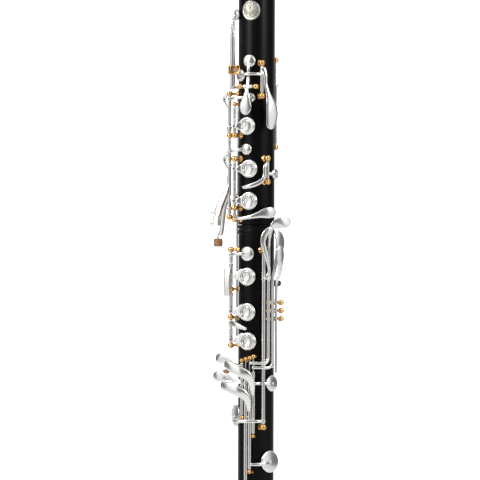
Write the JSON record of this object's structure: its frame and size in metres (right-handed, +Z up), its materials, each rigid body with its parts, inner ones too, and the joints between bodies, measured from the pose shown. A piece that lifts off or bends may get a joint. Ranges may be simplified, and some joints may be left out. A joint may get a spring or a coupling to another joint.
{
  "type": "bass clarinet",
  "caption": "Bass clarinet in black wood with silver-plated keywork on gold-plated posts, curved metal neck and bell, mouthpiece and floor peg.",
  "frame": {"origin": "centre of the strap ring's eye on the back of the upper joint, from which the instrument hangs", "axes": "+Z up along the bore, -Y towards the front with the finger plates, +X to the right seen from the front"},
  "size_m": [0.1308, 0.3299, 1.1243],
  "materials": {
    "grenadilla": "oiled dense black wood, satin with fine vertical grain",
    "silver_plate": "polished silver plate",
    "gold_plate": "polished rose-gold plate",
    "matte_silver": "frosted nickel silver",
    "ebonite": "polished hard rubber",
    "cane": "dry straw-coloured cane",
    "cork": "greased natural cork",
    "black_rubber": "matte black rubber",
    "steel_rod": "drawn steel"
  },
  "bodies": {
    "body": {"upper_joint": "grenadilla", "lower_joint": "grenadilla", "middle_tenon_cork": "cork", "neck_socket": "silver_plate", "badge": "matte_silver", "register_saddle": "gold_plate", "throat_a_posts": "gold_plate", "g_sharp_posts": "gold_plate", "side_line_posts": "gold_plate", "left_key_1_posts": "gold_plate", "upper_stack_posts": "gold_plate", "left_sliver_posts": "gold_plate", "thumb_line_posts": "gold_plate", "lower_stack_posts": "gold_plate", "long_key_posts": "gold_plate", "lever_posts_1": "gold_plate", "lever_posts_2": "gold_plate", "lever_posts_3": "gold_plate", "pinky_posts": "gold_plate", "low_key_posts": "gold_plate", "strap_ring": "silver_plate", "thumb_rest": "silver_plate", "thumb_rest_pad": "black_rubber", "bell": "silver_plate", "peg_holder": "silver_plate"},
    "register_key": {"register_key": "silver_plate"},
    "throat_a_key": {"throat_a_key": "silver_plate"},
    "g_sharp_key": {"g_sharp_key": "silver_plate"},
    "side_key_high": {"side_key_high": "silver_plate"},
    "side_key_low": {"side_key_low": "silver_plate"},
    "left_key_1": {"left_key_1": "silver_plate"},
    "left_key_2": {"left_key_2": "silver_plate"},
    "left_key_3": {"left_key_3": "silver_plate"},
    "left_c_sharp_key": {"left_c_sharp_key": "silver_plate"},
    "left_sliver_key": {"left_sliver_key": "silver_plate"},
    "thumb_plate_key": {"thumb_plate_key": "silver_plate"},
    "thumb_register_lever": {"thumb_register_lever": "silver_plate"},
    "right_vent_key": {"right_vent_key": "silver_plate"},
    "right_key_1": {"right_key_1": "silver_plate"},
    "right_key_2": {"right_key_2": "silver_plate"},
    "right_key_3": {"right_key_3": "silver_plate"},
    "right_sliver_key": {"right_sliver_key": "silver_plate"},
    "left_e_flat_key": {"left_e_flat_key": "silver_plate"},
    "left_lever_1": {"left_lever_1": "silver_plate"},
    "left_lever_2": {"left_lever_2": "silver_plate"},
    "left_lever_3": {"left_lever_3": "silver_plate"},
    "right_pinky_key_1": {"right_pinky_key_1": "silver_plate"},
    "right_pinky_key_2": {"right_pinky_key_2": "silver_plate"},
    "right_pinky_key_3": {"right_pinky_key_3": "silver_plate"},
    "right_pinky_key_4": {"right_pinky_key_4": "silver_plate"},
    "low_e_key": {"low_e_key": "silver_plate"},
    "neck": {"neck": "silver_plate", "mouthpiece": "ebonite", "reed": "cane", "ligature": "silver_plate"},
    "peg": {"peg_rod": "steel_rod", "peg_tip": "black_rubber"},
    "peg_screw": {"peg_screw": "silver_plate"},
    "ligature_screw_1": {"ligature_screw_1": "silver_plate"},
    "ligature_screw_2": {"ligature_screw_2": "silver_plate"}
  },
  "joints": [
    {"name": "register_key_rock", "type": "hinge", "parent": "body", "child": "register_key", "pos_m": [-0.02056, -0.04137, 0.125], "axis": [0.5592, -0.829, 0], "range_deg": [0, 3.5], "stiffness_Nm_per_rad": 0.08, "springref_deg": -14.32},
    {"name": "throat_a_key_rock", "type": "hinge", "parent": "body", "child": "throat_a_key", "pos_m": [0, -0.053, 0.108], "axis": [1, 0, 0], "range_deg": [0, 6], "stiffness_Nm_per_rad": 0.08, "springref_deg": -14.32},
    {"name": "g_sharp_key_turn", "type": "hinge", "parent": "body", "child": "g_sharp_key", "pos_m": [0.01391, -0.05064, 0.115], "axis": [0, 0, 1], "range_deg": [0, 5], "stiffness_Nm_per_rad": 0.08, "springref_deg": -14.32},
    {"name": "side_key_high_turn", "type": "hinge", "parent": "body", "child": "side_key_high", "pos_m": [-0.02388, -0.04074, 0.08], "axis": [0, 0, -1], "range_deg": [0, 6], "stiffness_Nm_per_rad": 0.08, "springref_deg": -14.32},
    {"name": "side_key_low_turn", "type": "hinge", "parent": "body", "child": "side_key_low", "pos_m": [-0.02388, -0.04074, 0.019], "axis": [0, 0, -1], "range_deg": [0, 6], "stiffness_Nm_per_rad": 0.08, "springref_deg": -14.32},
    {"name": "left_key_1_turn", "type": "hinge", "parent": "body", "child": "left_key_1", "pos_m": [-0.01558, -0.04894, 0.075], "axis": [0, 0, 1], "range_deg": [0, 6.5], "stiffness_Nm_per_rad": 0.08, "springref_deg": -14.32},
    {"name": "left_key_2_turn", "type": "hinge", "parent": "body", "child": "left_key_2", "pos_m": [-0.01558, -0.04894, 0.023], "axis": [0, 0, 1], "range_deg": [0, 6.5], "stiffness_Nm_per_rad": 0.08, "springref_deg": -14.32},
    {"name": "left_key_3_turn", "type": "hinge", "parent": "body", "child": "left_key_3", "pos_m": [-0.01558, -0.04894, 0.0016], "axis": [0, 0, 1], "range_deg": [0, 6.5], "stiffness_Nm_per_rad": 0.08, "springref_deg": -14.32},
    {"name": "left_c_sharp_key_turn", "type": "hinge", "parent": "body", "child": "left_c_sharp_key", "pos_m": [-0.01558, -0.04894, -0.019], "axis": [0, 0, 1], "range_deg": [0, 5], "stiffness_Nm_per_rad": 0.08, "springref_deg": -14.32},
    {"name": "left_sliver_key_turn", "type": "hinge", "parent": "body", "child": "left_sliver_key", "pos_m": [0.01857, -0.0464, 0.0247], "axis": [0, 0, -1], "range_deg": [0, 5], "stiffness_Nm_per_rad": 0.08, "springref_deg": -14.32},
    {"name": "thumb_plate_key_turn", "type": "hinge", "parent": "body", "child": "thumb_plate_key", "pos_m": [0.01162, -0.00368, 0.0627], "axis": [0, 0, 1], "range_deg": [0, 5.5], "stiffness_Nm_per_rad": 0.08, "springref_deg": -14.32},
    {"name": "thumb_register_lever_turn", "type": "hinge", "parent": "body", "child": "thumb_register_lever", "pos_m": [0.01162, -0.00368, 0.103], "axis": [0, 0, 1], "range_deg": [0, 3], "stiffness_Nm_per_rad": 0.08, "springref_deg": -14.32},
    {"name": "right_vent_key_turn", "type": "hinge", "parent": "body", "child": "right_vent_key", "pos_m": [-0.02088, -0.04381, -0.0627], "axis": [0, 0, 1], "range_deg": [0, 5.5], "stiffness_Nm_per_rad": 0.08, "springref_deg": -14.32},
    {"name": "right_key_1_turn", "type": "hinge", "parent": "body", "child": "right_key_1", "pos_m": [-0.02088, -0.04381, -0.0794], "axis": [0, 0, 1], "range_deg": [0, 5.5], "stiffness_Nm_per_rad": 0.08, "springref_deg": -14.32},
    {"name": "right_key_2_turn", "type": "hinge", "parent": "body", "child": "right_key_2", "pos_m": [-0.02088, -0.04381, -0.108], "axis": [0, 0, 1], "range_deg": [0, 5.5], "stiffness_Nm_per_rad": 0.08, "springref_deg": -14.32},
    {"name": "right_key_3_turn", "type": "hinge", "parent": "body", "child": "right_key_3", "pos_m": [-0.02088, -0.04381, -0.1398], "axis": [0, 0, 1], "range_deg": [0, 5.5], "stiffness_Nm_per_rad": 0.08, "springref_deg": -14.32},
    {"name": "right_sliver_key_turn", "type": "hinge", "parent": "body", "child": "right_sliver_key", "pos_m": [-0.02088, -0.04381, -0.1289], "axis": [0, 0, 1], "range_deg": [0, 5], "stiffness_Nm_per_rad": 0.08, "springref_deg": -14.32},
    {"name": "left_e_flat_key_turn", "type": "hinge", "parent": "body", "child": "left_e_flat_key", "pos_m": [0.01568, -0.04948, -0.143], "axis": [0, 0, 1], "range_deg": [0, 4], "stiffness_Nm_per_rad": 0.08, "springref_deg": -14.32},
    {"name": "left_lever_1_rock", "type": "hinge", "parent": "body", "child": "left_lever_1", "pos_m": [0.02047, -0.03884, -0.1073], "axis": [-0.4848, -0.8746, 0], "range_deg": [0, 2], "stiffness_Nm_per_rad": 0.08, "springref_deg": -14.32},
    {"name": "left_lever_2_rock", "type": "hinge", "parent": "body", "child": "left_lever_2", "pos_m": [0.02047, -0.03884, -0.1154], "axis": [-0.4848, -0.8746, 0], "range_deg": [0, 2], "stiffness_Nm_per_rad": 0.08, "springref_deg": -14.32},
    {"name": "left_lever_3_rock", "type": "hinge", "parent": "body", "child": "left_lever_3", "pos_m": [0.02047, -0.03884, -0.1235], "axis": [-0.4848, -0.8746, 0], "range_deg": [0, 2], "stiffness_Nm_per_rad": 0.08, "springref_deg": -14.32},
    {"name": "right_pinky_key_1_turn", "type": "hinge", "parent": "body", "child": "right_pinky_key_1", "pos_m": [0.00658, -0.05369, -0.207], "axis": [0, 0, -1], "range_deg": [0, 4], "stiffness_Nm_per_rad": 0.08, "springref_deg": -14.32},
    {"name": "right_pinky_key_2_turn", "type": "hinge", "parent": "body", "child": "right_pinky_key_2", "pos_m": [0.00292, -0.05434, -0.226], "axis": [0, 0, -1], "range_deg": [0, 4], "stiffness_Nm_per_rad": 0.08, "springref_deg": -14.32},
    {"name": "right_pinky_key_3_turn", "type": "hinge", "parent": "body", "child": "right_pinky_key_3", "pos_m": [-0.00113, -0.05448, -0.26], "axis": [0, 0, -1], "range_deg": [0, 3.6], "stiffness_Nm_per_rad": 0.08, "springref_deg": -14.32},
    {"name": "right_pinky_key_4_turn", "type": "hinge", "parent": "body", "child": "right_pinky_key_4", "pos_m": [-0.00543, -0.05395, -0.194], "axis": [0, 0, -1], "range_deg": [0, 4], "stiffness_Nm_per_rad": 0.08, "springref_deg": -14.32},
    {"name": "low_e_key_turn", "type": "hinge", "parent": "body", "child": "low_e_key", "pos_m": [0.00834, -0.05318, -0.347], "axis": [0, 0, 1], "range_deg": [0, 3.6], "stiffness_Nm_per_rad": 0.08, "springref_deg": -14.32},
    {"name": "peg_slide", "type": "slide", "parent": "body", "child": "peg", "axis": [0, 0, -1], "range_m": [-0.012, 0.02]},
    {"name": "peg_screw_turn", "type": "hinge", "parent": "body", "child": "peg_screw", "pos_m": [0.01, -0.0575, -0.599], "axis": [1, 0, 0], "range_deg": [-180, 180]},
    {"name": "neck_turn", "type": "hinge", "parent": "body", "child": "neck", "pos_m": [0, -0.0275, 0.255], "axis": [0, 0, 1], "range_deg": [-30, 30]},
    {"name": "ligature_screw_1_turn", "type": "hinge", "parent": "neck", "child": "ligature_screw_1", "pos_m": [0.005, 0.05915, 0.36192], "axis": [1, 0, 0], "range_deg": [-180, 180]},
    {"name": "ligature_screw_2_turn", "type": "hinge", "parent": "neck", "child": "ligature_screw_2", "pos_m": [0.005, 0.06962, 0.36532], "axis": [1, 0, 0], "range_deg": [-180, 180]}
  ],
  "couplings": [
    {"joint": "register_key_rock", "follows": "thumb_register_lever_turn", "ratio": 1.15},
    {"joint": "right_vent_key_turn", "follows": "right_key_1_turn", "ratio": 1},
    {"joint": "low_e_key_turn", "follows": "right_pinky_key_3_turn", "ratio": 1}
  ]
}
